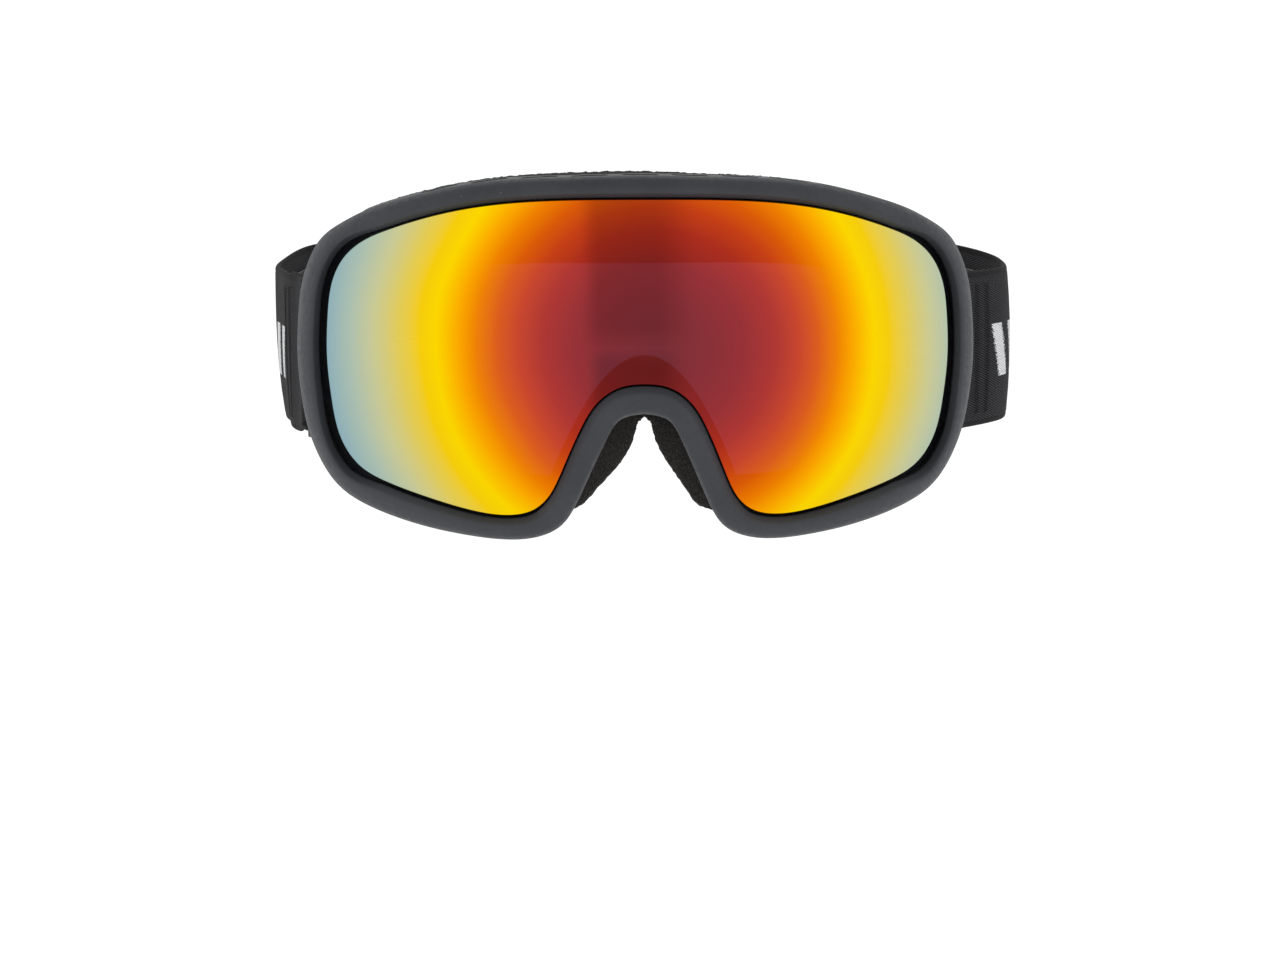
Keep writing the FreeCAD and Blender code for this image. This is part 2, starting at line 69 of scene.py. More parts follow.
# Half outlines from the front, (x, z), from the top centre to the nose: eye opening, lens edge, outside.
STATIONS = [
    ((0.0, 29.5), (0.0, 41.6), (0.0, 47.5)),
    ((17.0, 29.3), (18.0, 41.4), (20.0, 47.0)),
    ((30.0, 28.8), (31.0, 40.7), (34.0, 46.3)),
    ((42.0, 27.5), (44.0, 39.0), (48.0, 44.3)),
    ((52.0, 25.0), (56.0, 36.1), (61.0, 41.0)),
    ((59.0, 22.0), (65.0, 33.0), (71.0, 37.4)),
    ((64.0, 18.8), (71.5, 30.0), (78.0, 33.6)),
    ((67.5, 14.5), (77.2, 25.0), (84.0, 28.2)),
    ((69.3, 10.0), (80.0, 19.5), (87.3, 21.0)),
    ((70.2, 5.0), (81.5, 9.5), (89.1, 10.5)),
    ((70.2, -1.0), (81.7, -1.0), (89.5, -1.0)),
    ((69.0, -7.5), (80.5, -12.5), (88.4, -13.0)),
    ((66.5, -14.0), (77.8, -23.4), (85.4, -25.0)),
    ((62.5, -19.5), (73.0, -29.8), (80.0, -34.5)),
    ((56.0, -24.0), (65.5, -33.6), (71.5, -40.3)),
    ((49.0, -27.0), (55.0, -36.9), (58.0, -44.5)),
    ((42.0, -28.7), (43.5, -39.8), (45.0, -46.7)),
    ((36.0, -29.0), (34.5, -40.6), (34.5, -47.4)),
    ((31.0, -27.8), (28.6, -39.2), (27.0, -46.4)),
    ((27.8, -25.0), (24.8, -36.0), (21.2, -43.4)),
    ((25.5, -20.5), (22.3, -31.6), (17.5, -38.0)),
    ((22.5, -14.5), (19.6, -25.0), (14.0, -30.0)),
    ((19.0, -8.5), (16.6, -18.0), (10.4, -21.8)),
    ((13.5, -2.0), (12.3, -10.7), (7.0, -15.6)),
    ((7.0, 2.0), (6.6, -6.5), (3.7, -13.8)),
    ((0.0, 3.0), (0.0, -5.5), (0.0, -13.3)),
]


# Shapes


def ease(value):
    """Smooth step from 0 to 1, on numbers or arrays."""
    value = np.clip(value, 0.0, 1.0)
    return value * value * (3.0 - 2.0 * value)


def periodic_spline(params, values, wanted):
    """Closed cubic spline through values at params, read at the wanted parameters."""
    h = np.diff(params)
    n = len(h)
    matrix = np.zeros((n, n))
    right = np.zeros((n, values.shape[1]))
    for i in range(n):
        before, after = h[i - 1], h[i]
        matrix[i, i - 1] += before
        matrix[i, i] += 2.0 * (before + after)
        matrix[i, (i + 1) % n] += after
        rise = (values[(i + 1) % n] - values[i]) / after
        fall = (values[i] - values[i - 1]) / before
        right[i] = 6.0 * (rise - fall)
    second = np.linalg.solve(matrix, right)
    span = np.clip(np.searchsorted(params, wanted, side="right") - 1, 0, n - 1)
    following = (span + 1) % n
    step, offset = h[span][:, None], (wanted - params[span])[:, None]
    a, b = (step - offset) / step, offset / step
    curve = a * values[span] + b * values[following]
    bend = (a**3 - a) * second[span] + (b**3 - b) * second[following]
    return curve + bend * step**2 / 6.0


def under_lens(xz, depth):
    """Points under the lens surface by depth along the sphere's radius, from front-view points."""
    radius = LENS_RADIUS - depth
    y = SPHERE_Y - np.sqrt(radius**2 - xz[:, 0] ** 2 - xz[:, 1] ** 2)
    return np.stack([xz[:, 0], y, xz[:, 1]], 1)


class Outline:
    """The three outlines at the same evenly spaced places round the goggles, and their surfaces."""

    def __init__(self, count):
        half = np.array(STATIONS)
        mirror = half[-2:0:-1] * np.array([-1.0, 1.0])
        rows = np.concatenate([half, mirror])
        closed = np.concatenate([rows, rows[:1]])
        chords = np.linalg.norm(np.diff(closed[:, 1], axis=0), axis=1)
        params = np.concatenate([[0.0], np.cumsum(chords)])
        wanted = np.linspace(0.0, params[-1], count, endpoint=False)
        read = [periodic_spline(params, rows[:, k], wanted) for k in range(3)]
        self.eye, self.edge, self.outside = read
        self.count = count
        x, z = np.abs(self.outside[:, 0]), self.outside[:, 1]
        self.side = ease((x - 71.0) / 11.0)
        self.nose = np.where(z < 0.0, ease((27.0 - x) / 6.0), 0.0)
        self.bottom = ease(-self.edge[:, 1] / 30.0) * (1.0 - self.nose)

    def plan(self, t):
        """Front-view points; t is 0 at the eye opening, 1 at the lens edge and 2 at the outside."""
        t = np.broadcast_to(np.asarray(t, float), (self.count,))[:, None]
        inner = self.eye + (self.edge - self.eye) * t
        outer = self.edge + (self.outside - self.edge) * (t - 1.0)
        return np.where(t < 1.0, inner, outer)

    def front(self, t, depth):
        """Points under the lens surface by depth."""
        return under_lens(self.plan(t), depth)

    def rear(self, t, depth):
        """Points behind the flange's rear face by depth."""
        xz = self.plan(t)
        return np.stack([xz[:, 0], flange_y(xz[:, 0], xz[:, 1]) + depth, xz[:, 1]], 1)

    def wall(self):
        """Outer and inner place of the outer wall."""
        outside = 1.93 - 0.54 * self.side
        return outside, outside - 0.34 + 0.06 * self.side

    def foam(self):
        """Outer place of the face foam."""
        x, z = self.outside[:, 0], self.outside[:, 1]
        ends = ease((-z - 35.0) / 9.0)
        arch = 0.17 * np.exp(-((x / 4.0) ** 2))
        brow = 0.11 * ease((z - 38.0) / 6.0) * np.exp(-(((x + 10.0) / 26.0) ** 2))
        return 1.85 - 0.92 * self.side + 0.60 * self.nose * (1.0 - ends) * (1.0 - arch) + brow


def flange_y(x, z):
    """Rear face of the frame's flange."""
    curve = (FLANGE_TEMPLE_Y - FLANGE_BROW_Y) * (x / TEMPLE_X) ** 2
    over_nose = np.exp(-((x / 24.0) ** 2)) * ease((4.0 - z) / 16.0)
    return FLANGE_BROW_Y + curve - NOSE_FORWARD * over_nose


def rounded(corners, radii):
    """Closed section with its corners rounded; a corner is an array of points, one for each place round."""
    rows = []
    for k, corner in enumerate(corners):
        before, after = corners[k - 1], corners[(k + 1) % len(corners)]
        ends = []
        for other in (before, after):
            length = np.linalg.norm(other - corner, axis=1, keepdims=True)
            ends.append(corner + (other - corner) * np.minimum(radii[k], 0.46 * length) / length)
        for s in (0.0, 0.25, 0.5, 0.75, 1.0):
            rows.append((1 - s) ** 2 * ends[0] + 2 * s * (1 - s) * corner + s * s * ends[1])
    return rows


def spaced(rows, longest):
    """Adds points on long stretches of a section, so that it can be displaced."""
    out = []
    for row, following in zip(rows, rows[1:] + rows[:1]):
        length = float(np.linalg.norm(following - row, axis=1).mean())
        parts = max(1, int(math.ceil(length / longest)))
        out += [row + (following - row) * k / parts for k in range(parts)]
    return out


def linked(name, data):
    """New object in the scene."""
    obj = bpy.data.objects.new(name, data)
    bpy.context.scene.collection.objects.link(obj)
    return obj


def dressed(obj, paint, body, node):
    """Gives a new piece its material, body and slot, and the CAD node that it replaces."""
    obj.data.materials.append(paint)
    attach(obj, body)
    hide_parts(node)


def mesh_object(name, points, faces, smooth=True):
    """Object from points in millimetres and a list of faces."""
    mesh = bpy.data.meshes.new(name)
    mesh.from_pydata([tuple(p) for p in np.asarray(points) * MM], [], faces)
    mesh.validate()
    obj = linked(name, mesh)
    tool = bmesh.new()
    tool.from_mesh(mesh)
    bmesh.ops.recalc_face_normals(tool, faces=tool.faces)
    tool.to_mesh(mesh)
    tool.free()
    mesh.shade_smooth() if smooth else mesh.shade_flat()
    return obj


def quads(count, starts, closed=True):
    """Quads between rows of points with count to a row, from the index where each row starts."""
    faces = []
    for a, b in zip(starts, starts[1:]):
        for k in range(count if closed else count - 1):
            j = (k + 1) % count
            faces.append((a + k, a + j, b + j, b + k))
    return faces


def tube_faces(count, rows):
    """Quads along a tube of points, and its two end caps."""
    last = (rows - 1) * count
    caps = [tuple(range(count)), tuple(range(last + count - 1, last - 1, -1))]
    return quads(count, range(0, rows * count, count)) + caps


def ring_object(name, rows):
    """Closed ring from its section's rows."""
    n = len(rows[0])
    return mesh_object(name, np.concatenate(rows), quads(n, [*range(0, len(rows) * n, n), 0]))


def arc_object(name, rows, start, stop):
    """Stretch of a ring between two places, with both ends closed; indexes wrap round."""
    count = len(rows[0])
    picks = [k % count for k in range(start, stop + 1)]
    cut = [row[picks] for row in rows]
    n = len(picks)
    faces = quads(n, [*range(0, len(rows) * n, n), 0], closed=False)
    faces.append([r * n for r in range(len(rows))])
    faces.append([r * n + n - 1 for r in range(len(rows) - 1, -1, -1)])
    return mesh_object(name, np.concatenate(cut), faces)


def roughen(obj, size, height, seed):
    """Moves every point along its normal by fine noise, as cut foam or pile."""
    mesh = obj.data
    count = len(mesh.vertices)
    places, normals = np.empty(3 * count), np.empty(3 * count)
    mesh.vertices.foreach_get("co", places)
    mesh.vertex_normals.foreach_get("vector", normals)
    shift = np.array([seed, 1.7 * seed, 0.3 * seed])
    field = places.reshape(-1, 3) / (size * MM) + shift
    values = np.array([noise.noise(p) + 0.5 * noise.noise(p * 2.1) for p in map(Vector, field)])
    mesh.vertices.foreach_set("co", places + normals * np.repeat(values, 3) * height * MM)
    mesh.update()


def add_bevel(obj, width):
    bevel = obj.modifiers.new("bevel", "BEVEL")
    bevel.width = width * MM
    bevel.segments = 3
    bevel.limit_method = "ANGLE"
    return bevel


def bevelled(node, width):
    """Rounds the edges of a CAD piece that keeps its shape."""
    obj = NODES[node]
    weld = obj.modifiers.new("weld", "WELD")
    weld.merge_threshold = 0.00001
    bevel = add_bevel(obj, width)
    bevel.angle_limit = math.radians(35.0)
    bevel.harden_normals = True
    return obj


# Materials


class Nodes:
    """Adds nodes to a material's or the world's tree."""

    def __init__(self, tree):
        self.tree = tree

    def node(self, kind, **settings):
        made = self.tree.nodes.new(kind)
        for key, value in settings.items():
            setattr(made, key, value)
        return made

    def link(self, output, target):
        self.tree.links.new(output, target)
        return output

    def math(self, operation, a, b=None):
        made = self.node("ShaderNodeMath", operation=operation)
        for socket, value in zip(made.inputs, (a, b)):
            if isinstance(value, (int, float)):
                socket.default_value = value
            elif value is not None:
                self.link(value, socket)
        return made.outputs[0]

    def add(self, a, b):
        return self.math("ADD", a, b)

    def minus(self, a, b):
        return self.math("SUBTRACT", a, b)

    def times(self, first, *others):
        for other in others:
            first = self.math("MULTIPLY", first, other)
        return first

    def span(self, value, low, high, to_low=0.0, to_high=1.0):
        """Maps a range of a value onto another, clamped."""
        made = self.node("ShaderNodeMapRange", interpolation_type="SMOOTHSTEP")
        sockets = made.inputs
        self.link(value, sockets["Value"])
        sockets["From Min"].default_value, sockets["From Max"].default_value = low, high
        sockets["To Min"].default_value, sockets["To Max"].default_value = to_low, to_high
        return made.outputs["Result"]

    def split(self, vector):
        """The three numbers of a vector."""
        made = self.node("ShaderNodeSeparateXYZ")
        self.link(vector, made.inputs[0])
        return made.outputs


class Paint(Nodes):
    """Builds one node material."""

    def __init__(self, name, color, roughness, **inputs):
        self.material = bpy.data.materials.new(name)
        self.material.use_nodes = True
        super().__init__(self.material.node_tree)
        self.shader = self.tree.nodes["Principled BSDF"]
        self.shader.inputs["Base Color"].default_value = (*color, 1.0)
        self.shader.inputs["Roughness"].default_value = roughness
        for key, value in inputs.items():
            self.shader.inputs[key.replace("_", " ")].default_value = value

    def place(self):
        """Coordinates of the piece, in its own metres."""
        return self.node("ShaderNodeTexCoord").outputs["Object"]

    def noise(self, place, scale, detail=4.0, roughness=0.55):
        made = self.node("ShaderNodeTexNoise")
        made.inputs["Scale"].default_value = scale
        made.inputs["Detail"].default_value = detail
        made.inputs["Roughness"].default_value = roughness
        self.link(place, made.inputs["Vector"])
        return made.outputs["Fac"]

    def cells(self, place, scale):
        made = self.node("ShaderNodeTexVoronoi")
        made.inputs["Scale"].default_value = scale
        self.link(place, made.inputs["Vector"])
        return made.outputs["Distance"]

    def ramp(self, value, stops, smooth=True):
        made = self.node("ShaderNodeValToRGB")
        ramp = made.color_ramp
        ramp.interpolation = "EASE" if smooth else "LINEAR"
        ramp.elements[0].position, ramp.elements[0].color = stops[0][0], (*stops[0][1], 1.0)
        ramp.elements[1].position, ramp.elements[1].color = stops[-1][0], (*stops[-1][1], 1.0)
        for position, color in stops[1:-1]:
            ramp.elements.new(position).color = (*color, 1.0)
        self.link(value, made.inputs["Fac"])
        return made.outputs["Color"]

    def mix(self, factor, first, second, blend="MIX"):
        made = self.node("ShaderNodeMix", data_type="RGBA", blend_type=blend)
        for socket, value in ((made.inputs[0], factor), (made.inputs[6], first), (made.inputs[7], second)):
            if isinstance(value, (int, float)):
                socket.default_value = value
            elif isinstance(value, tuple):
                socket.default_value = (*value, 1.0)
            else:
                self.link(value, socket)
        return made.outputs[2]

    def node_mix(self, factor, first, second):
        """Mix of two single values."""
        return self.add(self.times(first, self.minus(1.0, factor)), self.times(second, factor))

    def color(self, output):
        self.link(output, self.shader.inputs["Base Color"])

    def roughness(self, output):
        self.link(output, self.shader.inputs["Roughness"])

    def mottled(self, scale, detail, dark, light, low=0.3, high=0.7):
        """Colour that wanders between two tones."""
        wander = self.noise(self.place(), scale, detail)
        self.color(self.ramp(wander, [(low, dark), (high, light)]))

    def bump(self, heights, distance):
        """Chains bumps from (height output, strength) pairs, over a distance in metres."""
        normal = None
        for height, strength in heights:
            made = self.node("ShaderNodeBump")
            made.inputs["Strength"].default_value = strength
            made.inputs["Distance"].default_value = distance
            self.link(height, made.inputs["Height"])
            if normal is not None:
                self.link(normal, made.inputs["Normal"])
            normal = made.outputs["Normal"]
        self.link(normal, self.shader.inputs["Normal"])


def moulded(name, dark, light, roughness, specks=0.0, gloss=0.45):
    """Fine-grained moulded rubber or plastic, with faint lint specks."""
    paint = Paint(name, light, roughness, Specular_IOR_Level=gloss)
    place = paint.place()
    broad = paint.noise(place, 45.0, 3.0)
    tone = paint.ramp(broad, [(0.30, dark), (0.70, light)])
    if specks:
        dots = paint.cells(place, 320.0)
        mask = paint.span(dots, 0.05, 0.10, specks, 0.0)
        sparse = paint.span(paint.noise(place, 140.0, 2.0), 0.60, 0.66)
        tone = paint.mix(paint.times(mask, sparse), tone, (0.32, 0.33, 0.34))
    paint.color(tone)
    worn = paint.noise(place, 700.0, 3.0)
    paint.roughness(paint.span(worn, 0.3, 0.7, roughness - 0.06, roughness + 0.07))
    paint.bump([(paint.noise(place, 9000.0, 2.0), 0.22), (broad, 0.05)], 0.0002)
    return paint.material


def foam_paint(name, dark, light, scale, strength):
    """Open-cell foam: dark pores between light cell walls."""
    paint = Paint(name, light, 0.95, Specular_IOR_Level=0.15)
    place = paint.place()
    pores = paint.cells(place, scale)
    fine = paint.noise(place, scale * 2.3, 3.0)
    mottled = paint.times(pores, paint.span(fine, 0.3, 0.7, 0.5, 1.2))
    paint.color(paint.ramp(mottled, [(0.08, light), (0.55, dark)]))
    paint.bump([(pores, strength), (fine, 0.5 * strength)], 0.0006)
    return paint.material


# Scene


def floor_paint():
    """Matt white that glows a little, so that the floor meets the surroundings."""
    white = (1.0, 1.0, 1.0, 1.0)
    paint = Paint("floor", (0.93, 0.93, 0.93), 0.9, Emission_Color=white, Emission_Strength=FLOOR_GLOW)
    paint.mottled(1.5, 2.0, (0.90, 0.90, 0.90), (0.92, 0.92, 0.92), 0.2, 0.8)
    return paint.material


FLOOR_Z = -0.30
FLOOR_HALF = 60.0
FLOOR_GLOW = 0.31
WORLD_STRENGTH = 1.08
TARGET = Vector((0.0, -0.050, 0.0))
CAMERA_DISTANCE = 1.40
CAMERA_AZIMUTH = -2.6
CAMERA_ELEVATION = 5.0
# Focal length and sensor width in mm, and degrees that the camera turns left and down from the target.
FOCAL_LENGTH, SENSOR_WIDTH = 151.831, 36.0
AIM_LEFT, AIM_DOWN = 0.0159, 1.3126


def make_stage():
    """Plain pale floor well below the goggles."""
    mesh = bpy.data.meshes.new("studio_floor")
    corners = [(x * FLOOR_HALF, y * FLOOR_HALF, FLOOR_Z) for x, y in ((-1, -1), (1, -1), (1, 1), (-1, 1))]
    mesh.from_pydata(corners, [], [(0, 1, 2, 3)])
    floor = linked("studio_floor", mesh)
    floor.data.materials.append(floor_paint())


def make_sky():
    """Even white surroundings, a little darker overhead and in a gap straight ahead."""
    world = bpy.data.worlds.new("studio")
    bpy.context.scene.world = world
    world.use_nodes = True
    sky = Nodes(world.node_tree)
    background = sky.tree.nodes["Background"]
    background.inputs["Color"].default_value = (1.0, 1.0, 1.0, 1.0)
    x, y, z = sky.split(sky.node("ShaderNodeTexCoord").outputs["Generated"])
    gap = sky.times(sky.span(x, -0.27, -0.16, 0.0, 0.30), sky.span(x, 0.08, 0.33, 1.0, 0.0))
    ahead = sky.times(sky.span(y, -0.75, -0.35, 1.0, 0.0), sky.span(z, -0.02, 0.10, 0.35, 1.0))
    overhead = sky.span(z, 0.66, 0.95, 0.0, 0.62)
    strength = sky.minus(1.0, sky.add(sky.times(gap, ahead), overhead))
    sky.link(sky.times(strength, WORLD_STRENGTH), background.inputs["Strength"])


def make_camera():
    """Camera in front, a little to the wearer's right and above."""
    azimuth, elevation = math.radians(CAMERA_AZIMUTH), math.radians(CAMERA_ELEVATION)
    level = math.cos(elevation)
    back = Vector((math.sin(azimuth) * level, -math.cos(azimuth) * level, math.sin(elevation)))
    data = bpy.data.cameras.new("camera")
    data.sensor_width = SENSOR_WIDTH
    data.lens = FOCAL_LENGTH
    data.clip_start, data.clip_end = 0.05, 200.0
    camera = linked("camera", data)
    camera.location = TARGET + back * CAMERA_DISTANCE
    look = (-back).to_track_quat("-Z", "Y")
    pitch = Matrix.Rotation(-math.radians(AIM_DOWN), 3, "X")
    yaw = Matrix.Rotation(math.radians(AIM_LEFT), 3, "Y")
    camera.rotation_mode = "QUATERNION"
    camera.rotation_quaternion = (look.to_matrix() @ yaw @ pitch).to_quaternion()
    bpy.context.scene.camera = camera


bpy.context.scene.view_settings.view_transform = "Standard"
make_stage()
make_sky()
make_camera()


# Frame


def frame_rows(ring):
    """Section of the frame shell, with its lip, lens ledge, outer wall and flange rounded."""
    proud = 2.2 + 0.5 * ring.side
    gap = 1.05 + 0.07 * ring.bottom + 0.18 * ring.side
    crest = gap + 0.22
    outside, inside = ring.wall()
    step = ring.front(2.0, 1.0)[:, 1] + 2.2
    step_plan = ring.plan(outside)
    step_row = np.stack([step_plan[:, 0], step, step_plan[:, 1]], 1)
    corners = [
        ring.front(0.62, LEDGE_DEPTH),
        ring.front(gap, LEDGE_DEPTH),
        ring.front(gap, 0.5),
        ring.front(crest, -0.88 * proud),
        ring.front(0.5 * crest + 0.88, -proud),
        ring.front(1.84, -0.75 * proud),
        ring.front(1.96, -0.15 * proud),
        ring.front(2.0, 1.0),
        step_row,
        ring.rear(outside, 0.0),
        ring.rear(0.15, 0.0),
        ring.rear(0.15, -FLANGE_THICK),
        ring.rear(inside, -FLANGE_THICK),
        ring.front(inside, LEDGE_DEPTH + LEDGE_THICK),
        ring.front(0.62, LEDGE_DEPTH + LEDGE_THICK),
    ]
    radii = [0.5, 0.3, 0.25, 0.8, 3.0, 2.0, 1.5, 1.6, 0.8, 0.5, 0.6, 0.6, 0.5, 0.5, 0.5]
    return rounded(corners, radii)


def rounded_slot(half_width, half_depth, radius, steps=5):
    """Outline of a rounded rectangle about zero."""
    points = []
    for turn, (sx, sy) in enumerate([(1, 1), (-1, 1), (-1, -1), (1, -1)]):
        for k in range(steps + 1):
            angle = math.radians(90.0 * (turn + k / steps))
            x = sx * (half_width - radius) + radius * math.cos(angle)
            points.append((x, sy * (half_depth - radius) + radius * math.sin(angle)))
    return points


def column(outline, place, axis, low, high):
    """Vertices and faces of a straight block: an outline carried along the Z or X axis."""
    points = []
    for end in (low, high):
        for a, b in outline:
            upright = (place[0] + a, place[1] + b, end)
            points.append(upright if axis == "Z" else (end, place[1] + a, place[2] + b))
    n = len(outline)
    faces = [(k, (k + 1) % n, n + (k + 1) % n, n + k) for k in range(n)]
    return points, faces + [tuple(range(n - 1, -1, -1)), tuple(range(n, 2 * n))]


def joined(name, blocks):
    """One object from several blocks of points and faces."""
    points, faces = [], []
    for block_points, block_faces in blocks:
        first = len(points)
        points.extend(block_points)
        faces += [tuple(first + k for k in face) for face in block_faces]
    return mesh_object(name, points, faces, smooth=False)


def discard(obj):
    mesh = obj.data
    bpy.data.objects.remove(obj)
    bpy.data.meshes.remove(mesh)


def combine(obj, other, operation):
    """Boolean of two objects, kept in the first one's mesh."""
    modifier = obj.modifiers.new("combine", "BOOLEAN")
    modifier.operation = operation
    modifier.object = other
    modifier.solver = "EXACT"
    apply_modifiers(obj)
    discard(other)


def apply_modifiers(obj):
    """Keeps the evaluated mesh and drops the modifiers."""
    graph = bpy.context.evaluated_depsgraph_get()
    graph.update()
    made = obj.evaluated_get(graph)
    mesh = bpy.data.meshes.new_from_object(made, preserve_all_data_layers=True, depsgraph=graph)
    old = obj.data
    obj.modifiers.clear()
    obj.data = mesh
    name = old.name
    bpy.data.meshes.remove(old)
    mesh.name = name


def vent_y(x, z):
    """Middle of the outer wall between the lens ledge and the flange."""
    radius = LENS_RADIUS - LEDGE_DEPTH - LEDGE_THICK
    ledge = SPHERE_Y - math.sqrt(radius**2 - x**2 - z**2)
    return 0.5 * (ledge + float(flange_y(x, z)) - FLANGE_THICK)


def circle(radius, count=48):
    angles = [2.0 * math.pi * k / count for k in range(count)]
    return [(radius * math.cos(angle), radius * math.sin(angle)) for angle in angles]


def frame_cutters():
    """Rounded vents through the top and bottom walls."""
    blocks = []
    for i in range(-4, 5):
        x = 13.0 * i
        y = vent_y(x, 45.5 - 4.5 * (x / 52.0) ** 2)
        blocks.append(column(rounded_slot(VENT_HALF_WIDTH, 2.1, 1.3), (x, y), "Z", 34.0, 50.0))
    for x in (38.0, 50.5, 63.0):
        y = vent_y(x, -45.0 + 2.5 * ((x - 38.0) / 25.0) ** 2)
        for side in (-x, x):
            blocks.append(column(rounded_slot(VENT_HALF_WIDTH, 1.5, 1.2), (side, y), "Z", -50.0, -34.0))
    return blocks


def temple_tabs():
    """Round-ended ears behind the frame's sides that carry the swivel studs."""
    angles = [math.radians(a) for a in range(0, 181, 9)]
    arc = [(TAB_RADIUS * math.sin(a), TAB_RADIUS * math.cos(a)) for a in angles]
    outline = arc + [(-12.0, -TAB_RADIUS), (-12.0, TAB_RADIUS)]
    pivot = (0.0, PIVOT_Y, STRAP_Z)
    blocks = [column(outline, pivot, "X", s * TAB_INNER_X, s * TAB_OUTER_X) for s in (-1.0, 1.0)]
    tabs = joined("tabs", blocks)
    add_bevel(tabs, 0.5)
    apply_modifiers(tabs)
    holes = [column(circle(STUD_HOLE_RADIUS), pivot, "X", s * 80.0, s * 88.0) for s in (-1.0, 1.0)]
    combine(tabs, joined("holes", holes), "DIFFERENCE")
    return tabs


def make_frame():
    shell = ring_object("frame_shell", frame_rows(Outline(480)))
    combine(shell, joined("vents", frame_cutters()), "DIFFERENCE")
    combine(shell, temple_tabs(), "UNION")
    shell.data.shade_smooth()
    shell.data.set_sharp_from_angle(angle=math.radians(38.0))
    shell.data.materials.clear()
    dark, light = (0.0345, 0.0372, 0.043), (0.0412, 0.0445, 0.051)
    rubber = moulded("soft_touch", dark, light, 0.56, specks=0.6, gloss=0.30)
    dressed(shell, rubber, "goggles", "frame")


# Lenses


def inside(points, outline):
    """Whether each point lies within a closed outline."""
    a, b = outline[None], np.roll(outline, -1, axis=0)[None]
    p = points[:, None]
    crosses = (a[..., 1] > p[..., 1]) != (b[..., 1] > p[..., 1])
    rise = np.where(np.abs(b[..., 1] - a[..., 1]) < 1e-9, 1e-9, b[..., 1] - a[..., 1])
    at = a[..., 0] + (p[..., 1] - a[..., 1]) * (b[..., 0] - a[..., 0]) / rise
    return (crosses & (p[..., 0] < at)).sum(1) % 2 == 1


def lens_points(ring, t, depths, rounding, spacing):
    """Mesh of a spherical lens: an even grid on its two faces and rounded edges between them."""
    depth_front, depth_rear = depths
    outline = ring.plan(t)
    inset = ring.plan(t - rounding / 11.6)
    span_x, span_z = np.abs(inset[:, 0]).max(), inset[:, 1]
    count = ring.count
    inner = []
    z = span_z.min() + 0.5 * spacing
    row = 0
    while z < span_z.max():
        x = -span_x + (0.5 * spacing if row % 2 else 0.0)
        while x < span_x:
            inner.append((x, z))
            x += spacing
        z += spacing * 0.866
        row += 1
    inner = np.array(inner)
    clear = np.linalg.norm(inner[:, None] - inset[None], axis=2).min(1) > 0.55 * spacing
    inner = inner[inside(inner, inset) & clear]
    flat = [Vector(v) for v in np.concatenate([inset, inner])]
    edges = [(k, (k + 1) % count) for k in range(count)]
    made = geometry.delaunay_2d_cdt(flat, edges, [list(range(count))], 1, 1e-6)
    flat = np.array([tuple(v) for v in made[0]])
    triangles = made[2]
    n = len(flat)
    points = [under_lens(flat, depth_front), under_lens(flat, depth_rear)]
    faces = [tuple(t) for t in triangles] + [tuple(n + k for k in t[::-1]) for t in triangles]
    edge_rows = []
    for face, sign, shares in ((depth_front, 1.0, (0.3, 0.7, 1.0)), (depth_rear, -1.0, (1.0, 0.7, 0.3))):
        for share in shares:
            turn = 0.5 * math.pi * share
            depth = face + sign * rounding * (1.0 - math.cos(turn))
            edge_rows.append(under_lens(inset + (outline - inset) * math.sin(turn), depth))
    faces += quads(count, [0, *range(2 * n, 2 * n + len(edge_rows) * count, count), n])
    return np.concatenate(points + edge_rows), faces


def set_lens_normals(obj, front, rear):
    """Exact spherical normals on both faces of a lens, so that reflections run clean."""
    mesh = obj.data
    centre = Vector((0.0, SPHERE_Y * MM, 0.0))
    normals = []
    for vertex in mesh.vertices:
        away = vertex.co - centre
        depth = LENS_RADIUS - away.length / MM
        if abs(depth - front) < 0.002:
            normals.append(away.normalized())
        elif abs(depth - rear) < 0.002:
            normals.append(-away.normalized())
        else:
            normals.append(vertex.normal)
    mesh.normals_split_custom_set_from_vertices(normals)


# Centre of the mirror film's rings and their outermost radius, in metres.
RINGS_X, RINGS_Z, RINGS_REACH = 0.0040, 0.0042, 0.090


